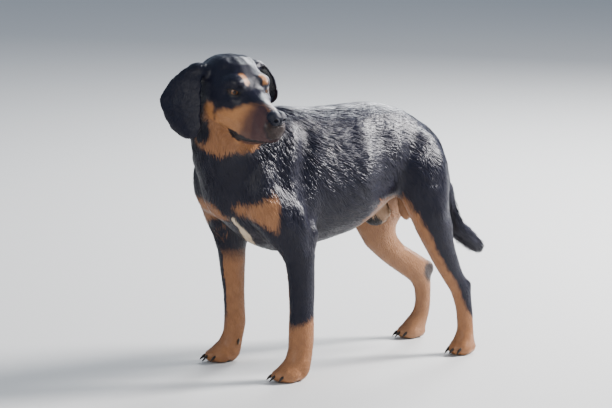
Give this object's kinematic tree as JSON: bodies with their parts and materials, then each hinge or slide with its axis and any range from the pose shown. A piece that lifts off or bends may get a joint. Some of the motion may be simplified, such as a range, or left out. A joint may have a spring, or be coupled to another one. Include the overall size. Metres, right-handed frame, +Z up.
{
  "type": "dog figure",
  "caption": "Life-size standing male hound, black with tan markings, head turned to its left, as a still display figure.",
  "frame": {"origin": "on the floor, under the middle of the whole figure's box", "axes": "+Z up, -Y the way the body faces, +X the dog's left"},
  "size_m": [0.3214, 0.7116, 0.615],
  "materials": {
    "coat_black": "short glossy black hair",
    "coat_tan": "short tan hair",
    "eye": "wet, clear over a brown iris",
    "nose": "moist, finely pebbled",
    "claw": "smooth horn"
  },
  "bodies": {
    "root": {"chest": "coat_black", "claw_fore_left_1": "claw", "claw_fore_left_2": "claw", "claw_fore_left_3": "claw", "claw_fore_left_4": "claw", "claw_fore_right_1": "claw", "claw_fore_right_2": "claw", "claw_fore_right_3": "claw", "claw_fore_right_4": "claw", "claw_hind_left_1": "claw", "claw_hind_left_2": "claw", "claw_hind_left_3": "claw", "claw_hind_left_4": "claw", "claw_hind_right_1": "claw", "claw_hind_right_2": "claw", "claw_hind_right_3": "claw", "claw_hind_right_4": "claw", "dewclaw_fore_left": "claw", "dewclaw_fore_right": "claw", "ear_left": "coat_black", "ear_right": "coat_black", "eye_left": "eye", "eye_right": "eye", "forearm_left": "coat_black", "forearm_right": "coat_black", "forepaw_left": "coat_tan", "forepaw_right": "coat_tan", "gaskin_left": "coat_black", "gaskin_right": "coat_black", "head": "coat_black", "hindfoot_left": "coat_tan", "hindfoot_right": "coat_tan", "hindquarters": "coat_black", "neck": "coat_black", "nose": "nose", "tail": "coat_black", "tail_end": "coat_black"}
  },
  "joints": []
}
